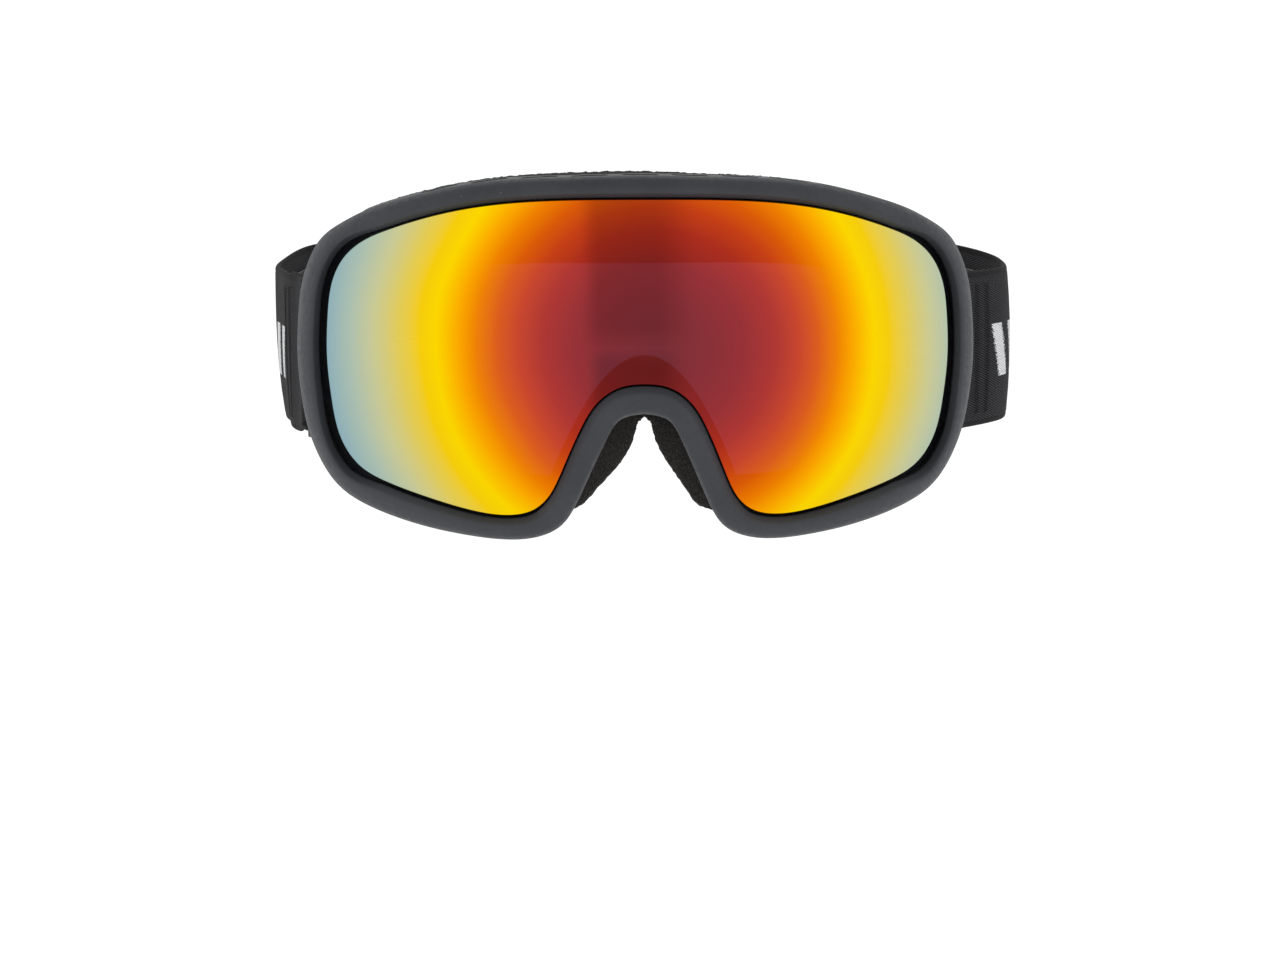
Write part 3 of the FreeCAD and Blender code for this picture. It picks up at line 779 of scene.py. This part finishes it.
def mirror_paint():
    """Mirror film whose colour runs in rings from dark red through orange and yellow to pale blue, with
    painted shade over the bridge of the nose and painted light where the eye opening lies behind it.
    """
    paint = Paint("mirror_film", (0.8, 0.3, 0.03), 0.045, Metallic=1.0)
    across, _, up = paint.split(paint.place())
    x = paint.minus(across, RINGS_X)
    z = paint.minus(up, RINGS_Z)
    radius = paint.math("SQRT", paint.add(paint.times(x, x), paint.times(z, z)))
    wander = paint.noise(paint.place(), 22.0, 1.0)
    radius = paint.add(radius, paint.span(wander, 0.3, 0.7, -0.0006, 0.0006))
    scaled = paint.math("DIVIDE", radius, RINGS_REACH)
    rings = [
        (0.00, (124, 38, 38)),
        (0.14, (134, 38, 38)),
        (0.24, (149, 40, 36)),
        (0.33, (174, 47, 30)),
        (0.40, (200, 65, 22)),
        (0.46, (221, 92, 8)),
        (0.52, (242, 130, 0)),
        (0.57, (255, 170, 0)),
        (0.635, (255, 217, 0)),
        (0.68, (248, 207, 14)),
        (0.74, (228, 206, 90)),
        (0.81, (204, 204, 150)),
        (0.88, (174, 194, 178)),
        (0.95, (144, 177, 186)),
    ]
    stops = [(place, tuple(srgb(value) * 0.90 for value in color)) for place, color in rings]
    film = paint.ramp(scaled, stops, smooth=False)
    # Painted light: faintly paler and bluer where the eye opening lies behind the film, not the foam,
    # standing in for the backdrop seen through the lens.
    wide = paint.math("POWER", paint.math("ABSOLUTE", paint.math("DIVIDE", across, 0.066)), 4.0)
    lifted = paint.math("DIVIDE", paint.add(up, 0.002), 0.0275)
    tall = paint.math("POWER", paint.math("ABSOLUTE", lifted), 4.0)
    opening = paint.span(paint.add(wide, tall), 0.97, 1.03, 1.0, 0.0)
    bridge = paint.times(across, across, 55.0)
    above = paint.span(paint.add(up, bridge), 0.0019, 0.0024)
    painted_backdrop_light = paint.times(opening, above, paint.span(scaled, 0.36, 0.56, 1.0, 0.0))
    # Painted shade: the film is darkened over the bridge of the nose, standing in for the darker
    # surroundings reflected there.
    sides = paint.times(paint.span(across, -0.0155, -0.0105), paint.span(across, 0.003, 0.013, 1.0, 0.0))
    painted_nose_shade = paint.times(sides, paint.span(up, -0.001, 0.007, 0.36, 0.0))
    # Multiplies the painted shade into the film colour.
    film = paint.mix(1.0, film, paint.minus(1.0, painted_nose_shade), "MULTIPLY")
    # Adds the painted see-through light to the film colour.
    paint.color(paint.mix(painted_backdrop_light, film, (0.016, 0.011, 0.020), "ADD"))
    return paint.material


def srgb(value):
    """Linear value of an 8-bit display value."""
    value /= 255.0
    return value / 12.92 if value <= 0.04045 else ((value + 0.055) / 1.055) ** 2.4


def tinted_paint(name, color, alpha):
    """Tinted polycarbonate seen from the face side."""
    paint = Paint(name, color, 0.05, Alpha=alpha, IOR=1.586)
    paint.mottled(18.0, 1.0, tuple(0.8 * value for value in color), color)
    paint.roughness(paint.span(paint.noise(paint.place(), 300.0, 2.0), 0.3, 0.7, 0.05, 0.08))
    return paint.material


def make_lenses():
    ring = Outline(480)
    points, faces = lens_points(ring, 1.0, (0.0, OUTER_LENS_THICK), 0.3, 3.0)
    outer = mesh_object("mirror_lens", points, faces)
    dressed(outer, mirror_paint(), "goggles", "outer_lens")
    outer.data.materials.append(tinted_paint("lens_rear", (0.16, 0.070, 0.035), 1.0))
    centre = Vector((0.0, SPHERE_Y * MM, 0.0))
    for face in outer.data.polygons:
        if (face.center - centre).length < (LENS_RADIUS - OUTER_LENS_THICK + 0.05) * MM:
            face.material_index = 1
    set_lens_normals(outer, 0.0, OUTER_LENS_THICK)

    points, faces = lens_points(ring, 0.94, (INNER_LENS_FRONT, LENS_STACK), 0.2, 4.0)
    inner = mesh_object("clear_lens", points, faces)
    tint = tinted_paint("inner_tint", (0.10, 0.050, 0.030), 0.16)
    dressed(inner, tint, "goggles", "inner_lens")
    set_lens_normals(inner, INNER_LENS_FRONT, LENS_STACK)


# Foam


NOSE_PINCH = 0.60
NOSE_SHIFT = 1.1


def pinched(ring, points, t):
    """Foam drawn in under the bridge of the nose, and lying a little to the wearer's left there."""
    high = 1.0 - ease((-19.0 - points[:, 2]) / 21.0)
    outer = ease((np.broadcast_to(t, (ring.count,)) - 1.0) / 1.2) * ring.nose
    out = points.copy()
    across = NOSE_SHIFT * outer * (1.0 - ease((-26.0 - points[:, 2]) / 14.0))
    out[:, 0] = points[:, 0] * (1.0 - NOSE_PINCH * high * outer) + across
    return out


def foam_piece(name, node, corners, radii, paint, rough, count=720, spacing=0.8):
    """Foam ring from (t, depth) corners behind the flange; t up to 0 counts in from the foam's outside."""
    ring = Outline(count)
    outside = ring.foam()
    scale = 1.0 - 0.20 * ring.nose
    glue = 0.3
    rows = []
    for t, depth in corners:
        place = outside + t if t <= 0.0 else t
        rows.append(pinched(ring, ring.rear(place, glue + (depth - glue) * scale), place))
    obj = ring_object(name, spaced(rounded(rows, radii), spacing))
    roughen(obj, *rough)
    dressed(obj, paint, "goggles", node)
    return obj


def fibres(under, count, longest):
    """Short loose fibres that stand on a piece, as thin blades, on its outward and rear faces."""
    mesh = under.data
    rng = np.random.default_rng(7)
    faces = len(mesh.polygons)
    centres, normals = np.empty(3 * faces), np.empty(3 * faces)
    mesh.polygons.foreach_get("center", centres)
    mesh.polygons.foreach_get("normal", normals)
    picks = rng.integers(0, faces, count)
    centres = centres.reshape(-1, 3)[picks] / MM + rng.normal(0.0, 0.25, (count, 3))
    normals = normals.reshape(-1, 3)[picks]
    lean = normals + rng.normal(0.0, 0.65, (count, 3))
    lean /= np.linalg.norm(lean, axis=1, keepdims=True)
    keep = (lean * normals).sum(1) > 0.25
    centres, lean = centres[keep], lean[keep]
    length = longest * (0.35 + 0.65 * rng.random((len(centres), 1)))
    across = np.cross(lean, rng.normal(0.0, 1.0, lean.shape))
    across *= 0.035 / np.linalg.norm(across, axis=1, keepdims=True)
    curl = rng.normal(0.0, 0.16, lean.shape)
    base = centres - 0.15 * lean
    middle = centres + 0.5 * length * lean
    tip = centres + length * lean + curl
    points = np.stack([base - across, base + across, middle + across, middle - across, tip], 1)
    blades = []
    for k in range(len(points)):
        a = 5 * k
        blades += [(a, a + 1, a + 2, a + 3), (a + 3, a + 2, a + 4)]
    pile = mesh_object("fleece_pile", points.reshape(-1, 3), blades)
    pile.data.materials.append(mesh.materials[0])
    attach(pile, "goggles")
    return pile


def make_foams():
    """Firm layer, soft layer and fleece, from the flange to the face."""
    base = foam_piece(
        "foam_base",
        "face_foam_base",
        [(0.10, 0.3), (0.0, 0.3), (-0.02, 8.0), (0.12, 8.0)],
        [0.8, 0.8, 1.2, 1.2],
        foam_paint("foam_black", (0.032, 0.0305, 0.029), (0.078, 0.074, 0.071), 2600.0, 0.35),
        rough=(0.9, 0.32, 3.0),
    )
    soft = foam_piece(
        "foam_soft",
        "face_foam_soft",
        [(0.12, 8.1), (-0.02, 8.1), (-0.03, 12.0), (-0.22, 15.0), (0.38, 15.0), (0.15, 12.0)],
        [1.0, 1.0, 2.6, 1.5, 1.5, 2.6],
        foam_paint("foam_soft_black", (0.033, 0.0315, 0.030), (0.082, 0.078, 0.075), 2400.0, 0.35),
        rough=(1.0, 0.36, 9.0),
    )
    fleece = foam_piece(
        "fleece",
        "face_fleece",
        [(0.38, 15.1), (-0.22, 15.1), (-0.26, 16.3), (0.44, 16.3)],
        [0.4, 0.4, 0.6, 0.6],
        fleece_paint(),
        rough=(0.8, 0.16, 17.0),
        count=960,
        spacing=0.6,
    )
    pile = fibres(fleece, 26000, 0.95)


def make_gasket():
    ring = Outline(480)
    rows = [ring.front(0.70, 1.25), ring.front(0.93, 1.25), ring.front(0.93, 4.15), ring.front(0.70, 4.15)]
    gasket = ring_object("lens_gasket", spaced(rounded(rows, [0.4] * 4), 0.7))
    paint = foam_paint("gasket_foam", (0.004, 0.004, 0.004), (0.016, 0.016, 0.016), 2200.0, 0.4)
    roughen(gasket, 1.0, 0.02, 5.0)
    dressed(gasket, paint, "goggles", "lens_spacer")


def make_filters():
    """Coarse foam strips against the outer wall, behind the vents."""
    ring = Outline(480)
    inside = ring.wall()[1]
    top = LEDGE_DEPTH + LEDGE_THICK + 0.3
    rows = [
        ring.front(inside - 0.45, top),
        ring.front(inside - 0.06, top),
        ring.rear(inside - 0.06, -FLANGE_THICK - 0.3),
        ring.rear(inside - 0.45, -FLANGE_THICK - 0.3),
    ]
    rows = spaced(rounded(rows, [0.4] * 4), 0.8)
    x, z = rows[0][:, 0], rows[0][:, 2]
    half = ring.count // 2
    tops = [k for k in range(-half, half) if abs(x[k]) < 59.0 and z[k] > 30.0]
    lows = [k for k in range(half) if 31.0 < x[k] < 69.0 and z[k] < -30.0]
    paint = foam_paint("filter_foam", (0.004, 0.004, 0.004), (0.030, 0.029, 0.028), 900.0, 0.8)
    stretches = {
        "vent_foam_top": (tops[0], tops[-1]),
        "vent_foam_bottom_left": (lows[0], lows[-1]),
        "vent_foam_bottom_right": (-lows[-1], -lows[0]),
    }
    for seed, (node, (start, stop)) in enumerate(stretches.items()):
        strip = arc_object("filter" + node[9:], rows, start, stop)
        roughen(strip, 1.2, 0.05, 21.0 + seed)
        dressed(strip, paint, "goggles", node)


def fleece_paint():
    """Short black pile in clumps."""
    sheen = {"Sheen_Weight": 0.35, "Sheen_Roughness": 0.5}
    paint = Paint("fleece", (0.03, 0.03, 0.03), 0.95, Specular_IOR_Level=0.15, **sheen)
    place = paint.place()
    pile = paint.noise(place, 1900.0, 4.0, 0.7)
    clumps = paint.noise(place, 420.0, 3.0)
    tone = paint.ramp(pile, [(0.32, (0.010, 0.010, 0.010)), (0.68, (0.046, 0.045, 0.044))])
    paint.color(paint.mix(paint.span(clumps, 0.35, 0.65), tone, (0.030, 0.030, 0.030)))
    paint.bump([(pile, 0.6), (clumps, 0.4)], 0.0005)
    return paint.material


# Webbing


CLOTH_MAP = "cloth"
# The back of the webbing is mapped this far behind the front, in mm, and so carries no woven bars.
BACK_OFFSET = 456.0
FOLD_X, FOLD_Y, FOLD_RADIUS = 83.95, 4.4, 2.15
# Each half of the strap turns outwards behind its clip, then in along the cheek and round the rear.
FRONT_RADIUS, FRONT_ANGLE = 30.0, 26.0
CHEEK_RADIUS, CHEEK_ANGLE = 95.0, 46.0
REAR_RADIUS = 46.0
REAR_LINE = 122.0
LAYER = 2.0
OVERLAP_REACH = 46.0
TACK_REACH, TACK_PITCH = 17.0, 0.34
END_REACH, END_PITCH = 18.0, 0.9


class Line:
    """Line of a flat band from above, laid as runs and arcs; headings are degrees from +Y towards +X."""

    def __init__(self, x=0.0, y=0.0, heading=0.0):
        self.rows = [(x, y, heading, 0.0)]

    def straight(self, length, step=2.0):
        x, y, heading, run = self.rows[-1]
        parts = max(1, math.ceil(length / step))
        angle = math.radians(heading)
        for k in range(1, parts + 1):
            part = length * k / parts
            self.rows.append((x + part * math.sin(angle), y + part * math.cos(angle), heading, run + part))
        return self

    def turn(self, radius, angle, step=1.5):
        """Arc through an angle in degrees; a positive angle turns to the right."""
        x, y, heading, run = self.rows[-1]
        sign = math.copysign(1.0, angle)
        start = math.radians(heading)
        centre = (x + sign * radius * math.cos(start), y - sign * radius * math.sin(start))
        length = radius * math.radians(abs(angle))
        parts = max(2, math.ceil(max(length / step, abs(angle) / 12.0)))
        for k in range(1, parts + 1):
            now = math.radians(heading + angle * k / parts)
            place = (centre[0] - sign * radius * math.cos(now), centre[1] + sign * radius * math.sin(now))
            self.rows.append((*place, heading + angle * k / parts, run + length * k / parts))
        return self

    def reversed(self):
        """The same line walked the other way, ending at length zero."""
        made = Line()
        made.rows = [(x, y, heading + 180.0, -run) for x, y, heading, run in self.rows[::-1]]
        return made

    def then(self, other):
        made = Line()
        made.rows = self.rows + other.rows[1:]
        return made


def settle(points):
    """How the worn strap hangs: a little across, its lower edge down, leaning in on the wearer's right."""
    x, y, z = points[:, 0], points[:, 1], points[:, 2]
    along = ease((y - 8.0) / 36.0) * (1.0 - ease((y - 66.0) / 46.0))
    clear = ease((y - 2.0) / 13.0) * ease((np.abs(x) - 47.0) / 16.0)
    height = np.clip((z - STRAP_Z) / 20.0, -1.0, 1.0)
    lean = np.where(x < 0.0, 2.8 * (0.5 * (1.0 - height)) ** 2.8, 0.9 + 1.1 * (1.0 - height**2))
    narrow = np.where(x < 0.0, 6.0, 0.0) * ease((y - 45.0) / 75.0) * clear
    out = points.copy()
    out[:, 0] = x + (lean + 4.5) * along + narrow
    out[:, 2] = z - 2.4 * (0.5 * (1.0 - height)) * clear + 3.2 * ease((y - 50.0) / 60.0) * clear
    return out


def band(line, profile, mirror):
    """Points and faces of a band swept along a line from a closed profile of (height, side)."""
    rows = np.array(line.rows)
    heading = np.radians(rows[:, 2])
    across = np.stack([np.cos(heading), -np.sin(heading)], 1)
    points = []
    for (x, y, _, _), (nx, ny) in zip(rows, across):
        for height, side in profile:
            points.append((x + side * nx, y + side * ny, STRAP_Z + height))
    points = np.array(points)
    if mirror:
        points[:, 0] *= -1.0
    return settle(points), tube_faces(len(profile), len(rows))


def map_cloth(obj, line, profile):
    """UV map of a band: the length along its line and the height, in mm."""
    count = len(profile)
    layer = obj.data.uv_layers.new(name=CLOTH_MAP)
    for face in obj.data.polygons:
        back = sum(profile[k % count][1] for k in face.vertices) < 0.0
        for index in face.loop_indices:
            row, k = divmod(obj.data.loops[index].vertex_index, count)
            layer.data[index].uv = (line.rows[row][3] - (BACK_OFFSET if back else 0.0), profile[k][0])


def webbing_profile():
    """Closed profile of the webbing: flat field, a groove and a rolled selvedge on each edge."""
    half = [(0.0, 0.80), (6.0, 0.80), (12.0, 0.80), (18.1, 0.80), (18.5, 0.70), (18.8, 0.76), (19.3, 0.74)]
    angles = [math.radians(a) for a in (30.0, 60.0, 90.0)]
    rim = [(19.3 + 0.7 * math.sin(a), 0.74 * math.cos(a)) for a in angles]
    quarter = half + rim
    right = quarter + [(v, -s) for v, s in quarter[-2::-1]]
    left = [(-v, s) for v, s in right[-2:0:-1]]
    return right + left


def side_line(rear_radius):
    """Outer layer, from the fold round the clip's bar to its end in the rear overlap."""
    line = Line(FOLD_X, FOLD_Y, 180.0).turn(FOLD_RADIUS, -180.0)
    line.turn(FRONT_RADIUS, FRONT_ANGLE).turn(CHEEK_RADIUS, -CHEEK_ANGLE).turn(rear_radius, -70.0)
    return line.straight(line.rows[-1][0] + OVERLAP_REACH)


def return_line():
    """Inner layer, from the fold to its sewn end."""
    line = Line(FOLD_X, FOLD_Y, 0.0).turn(12.0, FRONT_ANGLE).straight(9.8)
    return line.turn(CHEEK_RADIUS - LAYER, -8.0)


def outer_line(angle):
    """Start of a line on the outer layer, an angle into its turn along the cheek."""
    line = Line(FOLD_X + 2.0 * FOLD_RADIUS, FOLD_Y, 0.0).turn(FRONT_RADIUS, FRONT_ANGLE)
    x, y, heading, _ = line.turn(CHEEK_RADIUS, -angle).rows[-1]
    return Line(x, y, heading)


# Twill: a rib's length along the webbing and its height. Woven bars: start, pitch, length of the row.
RIB_LENGTH, RIB_HEIGHT = 1.9, 0.62
BARS_START, BARS_PITCH, BARS_ROW = 34.0, 12.0, 56.0


def webbing_paint():
    """Black elastic twill with a plain selvedge and a woven row of slanted pale bars."""
    sheen = {"Sheen_Weight": 0.03, "Sheen_Roughness": 0.4}
    paint = Paint("webbing", (0.03, 0.03, 0.03), 0.82, Specular_IOR_Level=0.10, **sheen)
    cloth = paint.node("ShaderNodeUVMap", uv_map=CLOTH_MAP).outputs["UV"]
    run, height, _ = paint.split(cloth)
    fine = paint.noise(cloth, 2.6, 3.0, 0.6)
    slope = paint.add(paint.math("DIVIDE", run, RIB_LENGTH), paint.math("DIVIDE", height, RIB_HEIGHT))
    slope = paint.add(slope, paint.span(paint.noise(cloth, 0.8, 2.0), 0.3, 0.7, -0.06, 0.06))
    rib = paint.math("SINE", paint.times(slope, 2.0 * math.pi))
    pick = paint.math("SINE", paint.times(run, 2.0 * math.pi / 0.9))
    weave = paint.add(paint.add(paint.times(rib, 0.38), paint.times(pick, 0.12)), 0.5)
    edge = paint.span(paint.math("ABSOLUTE", height), 18.3, 18.7)
    plain = paint.add(0.25, paint.times(paint.noise(cloth, 3.5, 2.0), 0.3))
    weave = paint.node_mix(edge, weave, plain)
    tone = paint.ramp(weave, [(0.22, (0.002, 0.002, 0.0025)), (0.85, (0.042, 0.042, 0.046))])
    specks = paint.times(paint.span(fine, 0.60, 0.72, 0.0, 0.8), paint.minus(1.0, edge))
    tone = paint.mix(specks, tone, (0.050, 0.050, 0.053))
    snapped = paint.math("SNAP", height, 0.42)
    lean = paint.add(run, paint.times(snapped, 0.34))
    jag = paint.span(paint.noise(cloth, 1.9, 2.0), 0.3, 0.7, -0.9, 0.9)
    lean = paint.minus(paint.add(lean, jag), BARS_START)
    turn = paint.math("FRACT", paint.math("DIVIDE", lean, BARS_PITCH))
    in_row = paint.times(paint.math("GREATER_THAN", lean, 0.0), paint.math("LESS_THAN", lean, BARS_ROW))
    from_middle = paint.math("ABSOLUTE", paint.add(snapped, 1.2))
    in_row = paint.times(in_row, paint.math("LESS_THAN", from_middle, 6.8))
    bar = paint.times(paint.span(turn, 0.50, 0.53, 1.0, 0.0), in_row)
    thread = paint.ramp(weave, [(0.10, (0.52, 0.53, 0.54)), (0.75, (0.86, 0.87, 0.88))])
    paint.color(paint.mix(bar, tone, thread))
    paint.bump([(weave, 0.9), (fine, 0.3)], 0.0003)
    return paint.material


def zigzag(line, side):
    """Points of a bar tack: a thread that crosses a short run of the webbing as it climbs."""
    rows = np.array(line.rows)
    start, end = rows[0], rows[-1]
    points = []
    for k in range(int(2.0 * TACK_REACH / TACK_PITCH) + 1):
        row = start if k % 2 else end
        angle = math.radians(row[2])
        x, y = row[0] + side * math.cos(angle), row[1] - side * math.sin(angle)
        points.append((x, y, STRAP_Z - TACK_REACH + TACK_PITCH * k))
    return np.array(points)


def thread_tube(points, radius, sides=6):
    """Vertices and faces of a round thread along a run of points."""
    points = np.asarray(points, float)
    tangents = np.gradient(points, axis=0)
    tangents /= np.linalg.norm(tangents, axis=1, keepdims=True)
    up = np.array([0.0, 0.0, 1.0])
    verts = []
    for point, tangent in zip(points, tangents):
        side = np.cross(tangent, up)
        length = np.linalg.norm(side)
        side = side / length if length > 1e-6 else np.array([1.0, 0.0, 0.0])
        other = np.cross(side, tangent)
        for k in range(sides):
            angle = 2.0 * math.pi * k / sides
            verts.append(point + radius * (math.cos(angle) * side + math.sin(angle) * other))
    return verts, tube_faces(sides, len(points))


def make_straps():
    cloth = webbing_paint()
    profile = webbing_profile()
    # The inner half turns a little tighter so that it lies 2 mm inside the outer half.
    inner_radius = REAR_RADIUS - LAYER / (1.0 - math.sin(math.radians(CHEEK_ANGLE - FRONT_ANGLE)))
    for name, radius, mirror in (("left", REAR_RADIUS, False), ("right", inner_radius, True)):
        line = return_line().reversed().then(side_line(radius))
        strap = mesh_object("webbing_" + name, *band(line, profile, mirror))
        map_cloth(strap, line, profile)
        dressed(strap, cloth, "strap_loop", "strap_" + name)


def silicone_paint():
    paint = Paint("silicone", (0.05, 0.052, 0.055), 0.28)
    paint.mottled(160.0, 2.0, (0.040, 0.041, 0.044), (0.060, 0.062, 0.066))
    paint.bump([(paint.noise(paint.place(), 900.0, 2.0), 0.2)], 0.0002)
    return paint.material


def thread_paint():
    paint = Paint("thread", (0.02, 0.02, 0.021), 0.7, Specular_IOR_Level=0.2)
    paint.mottled(2500.0, 2.0, (0.006, 0.006, 0.006), (0.030, 0.030, 0.031))
    return paint.material


def make_grips():
    """Three silicone lines along the head side of each half."""
    line = outer_line(12.0).turn(CHEEK_RADIUS, 12.0 - CHEEK_ANGLE)
    blocks = []
    for mirror in (False, True):
        for height in (-12.0, 0.0, 12.0):
            profile = [(height + a, b - 1.06) for a, b in rounded_slot(2.5, 0.24, 0.23, 3)]
            blocks.append(band(line, profile, mirror))
    grips = joined("grip_lines", blocks)
    grips.data.shade_smooth()
    dressed(grips, silicone_paint(), "strap_loop", "grip_strips")


def make_tacks():
    """Threads: two bar tacks through each fold, and two rows at each half's end in the rear overlap."""
    blocks = []
    for angle in (1.6, 4.8):
        line = outer_line(angle).turn(CHEEK_RADIUS, -1.4)
        for side in (0.84, -2.86):
            points = zigzag(line, side)
            for mirror in (1.0, -1.0):
                turned = settle(points * np.array([mirror, 1.0, 1.0]))
                blocks.append(thread_tube(turned, 0.12))
    for mirror, layer in ((1.0, REAR_LINE), (-1.0, REAR_LINE - LAYER)):
        side = 0.88 if mirror > 0 else -0.88
        for offset in (3.0, 4.6):
            x = -(OVERLAP_REACH - offset) * mirror
            points = []
            for k in range(int(2.0 * END_REACH / END_PITCH) + 1):
                weave = 0.08 if k % 2 else -0.14
                points.append((x, layer + side + weave, STRAP_Z - END_REACH + END_PITCH * k))
            blocks.append(thread_tube(points, 0.15))
    tacks = joined("tack_threads", blocks)
    tacks.data.shade_smooth()
    dressed(tacks, thread_paint(), "strap_loop", "bar_tacks")


# Hard fittings


def finish_fittings():
    """Rounded edges and moulded materials on the clips, studs, caps and sliders."""
    nylon = moulded("nylon", (0.012, 0.012, 0.013), (0.020, 0.020, 0.021), 0.42)
    stud = moulded("stud_nylon", (0.016, 0.016, 0.017), (0.024, 0.024, 0.025), 0.34)
    slide = moulded("slider_nylon", (0.013, 0.013, 0.014), (0.022, 0.022, 0.023), 0.38)
    for side in ("left", "right"):
        for node, width, paint in (
            ("clip_", 0.45, nylon),
            ("stud_", 0.30, stud),
            ("stud_cap_", 0.30, stud),
            ("slider_", 0.45, slide),
        ):
            obj = bevelled(node + side, width)
            obj.data.materials.clear()
            obj.data.materials.append(paint)


make_frame()
make_lenses()
make_foams()
make_gasket()
make_filters()
make_straps()
make_grips()
make_tacks()
finish_fittings()
